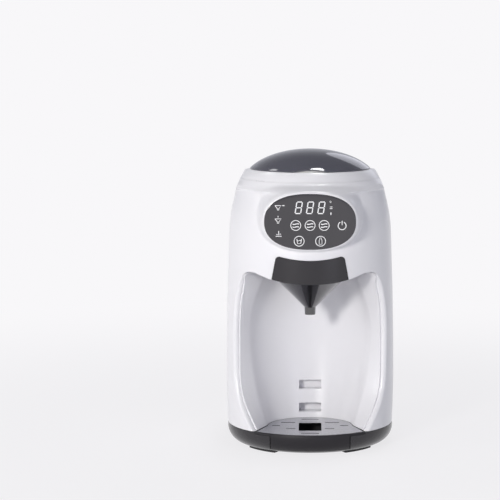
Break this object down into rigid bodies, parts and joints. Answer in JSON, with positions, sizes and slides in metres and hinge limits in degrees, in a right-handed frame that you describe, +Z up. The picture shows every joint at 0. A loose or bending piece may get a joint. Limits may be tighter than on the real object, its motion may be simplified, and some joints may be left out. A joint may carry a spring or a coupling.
{
  "type": "baby formula maker",
  "caption": "Rounded countertop machine that mixes warm water and milk powder into a bottle, with smoked lid, display pod, funnel drawer, drip tray and rear tank.",
  "frame": {"origin": "middle of the machine's underside, on the surface it stands on", "axes": "+Z up, front towards -Y, +X to the right seen from the front"},
  "size_m": [0.19, 0.2631, 0.335],
  "materials": {
    "white_casing": "smooth moulded ABS, light gloss",
    "black_gloss": "smooth moulded ABS, high gloss",
    "smoked_clear": "tinted clear moulded plastic, polished",
    "panel_glass": "dark printed lens, polished",
    "grey_grille": "silver painted plastic, satin gloss",
    "silicone": "milky silicone",
    "foot_rubber": "black rubber",
    "clear_cup": "clear moulded plastic",
    "white_works": "natural acetal",
    "motor_steel": "zinc-plated steel",
    "pin_steel": "ground stainless steel",
    "board_green": "solder-resist coated laminate",
    "screw_steel": "zinc-plated steel",
    "heater_sheath": "drawn aluminium sheath"
  },
  "bodies": {
    "housing": {"base": "black_gloss", "feet": "foot_rubber", "cord_gland": "black_gloss", "front_casing": "white_casing", "bay_liner": "white_casing", "head_floor": "white_casing", "rear_casing": "white_casing", "top_collar": "white_casing", "control_panel": "panel_glass", "display_module": "black_gloss", "touch_springs": "screw_steel", "panel_board": "board_green", "gear_deck": "white_works", "gear_bearing": "white_works", "dosing_motor": "motor_steel", "powder_chute": "white_works", "water_nozzle": "white_works", "tank_socket": "white_works", "level_sensor": "board_green", "funnel_sensor": "black_gloss", "pump_motor": "motor_steel", "pump_head": "white_works", "pump_bracket": "white_works", "heater": "heater_sheath", "heater_brackets": "white_works", "inlet_hose": "silicone", "heater_hose": "silicone", "nozzle_hose": "silicone", "main_board": "board_green", "board_screws": "screw_steel", "base_screws": "screw_steel", "deck_screws": "screw_steel", "motor_screws": "screw_steel"},
    "container": {"powder_container": "clear_cup", "lid_hinge_pin": "pin_steel"},
    "lid": {"dome_lid": "smoked_clear", "lid_seal": "silicone"},
    "stirrer": {"stirrer_shaft": "white_works", "dosing_wheel": "white_works", "mixing_wheel": "white_works"},
    "output_gear": {"output_gear": "white_works"},
    "pinion": {"motor_pinion": "white_works"},
    "funnel_drawer": {"funnel": "black_gloss", "funnel_carrier": "black_gloss", "drawer_front": "black_gloss"},
    "drip_tray": {"drip_tray": "black_gloss"},
    "grille": {"tray_grille": "grey_grille"},
    "tank": {"water_tank": "smoked_clear", "valve_body": "white_works"},
    "tank_lid": {"tank_lid": "white_casing"},
    "poppet": {"valve_poppet": "silicone"},
    "float": {"tank_float": "white_works"},
    "impeller": {"pump_impeller": "white_works"}
  },
  "joints": [
    {"name": "container_lift", "type": "slide", "parent": "housing", "child": "container", "axis": [0, 0, 1], "range_m": [0, 0.09]},
    {"name": "lid_hinge", "type": "hinge", "parent": "container", "child": "lid", "pos_m": [0, 0.0345, 0.316], "axis": [-1, 0, 0], "range_deg": [0, 90]},
    {"name": "stirrer_spin", "type": "hinge", "parent": "container", "child": "stirrer", "pos_m": [0, -0.035, 0.24], "axis": [0, 0, 1], "continuous": true},
    {"name": "output_gear_spin", "type": "hinge", "parent": "housing", "child": "output_gear", "pos_m": [0, -0.035, 0.223], "axis": [0, 0, 1], "continuous": true},
    {"name": "pinion_spin", "type": "hinge", "parent": "housing", "child": "pinion", "pos_m": [0, 0.01, 0.223], "axis": [0, 0, 1], "continuous": true},
    {"name": "funnel_pull", "type": "slide", "parent": "housing", "child": "funnel_drawer", "axis": [0, -1, 0], "range_m": [0, 0.09]},
    {"name": "tray_pull", "type": "slide", "parent": "housing", "child": "drip_tray", "axis": [0, -1, 0], "range_m": [0, 0.12]},
    {"name": "grille_lift", "type": "slide", "parent": "drip_tray", "child": "grille", "axis": [0, 0, 1], "range_m": [0, 0.05]},
    {"name": "tank_lift", "type": "slide", "parent": "housing", "child": "tank", "axis": [0, 0, 1], "range_m": [0, 0.12]},
    {"name": "tank_lid_lift", "type": "slide", "parent": "tank", "child": "tank_lid", "axis": [0, 0, 1], "range_m": [0, 0.06]},
    {"name": "poppet_slide", "type": "slide", "parent": "tank", "child": "poppet", "axis": [0, 0, 1], "range_m": [0, 0.003], "stiffness_N_per_m": 100, "springref_m": -0.01},
    {"name": "float_slide", "type": "slide", "parent": "tank", "child": "float", "axis": [0, 0, 1], "range_m": [0, 0.018]},
    {"name": "impeller_spin", "type": "hinge", "parent": "housing", "child": "impeller", "pos_m": [0.034, 0.026, 0.066], "axis": [0, 0, 1], "continuous": true}
  ],
  "couplings": [
    {"joint": "stirrer_spin", "follows": "output_gear_spin", "ratio": 1},
    {"joint": "pinion_spin", "follows": "output_gear_spin", "ratio": -4}
  ]
}
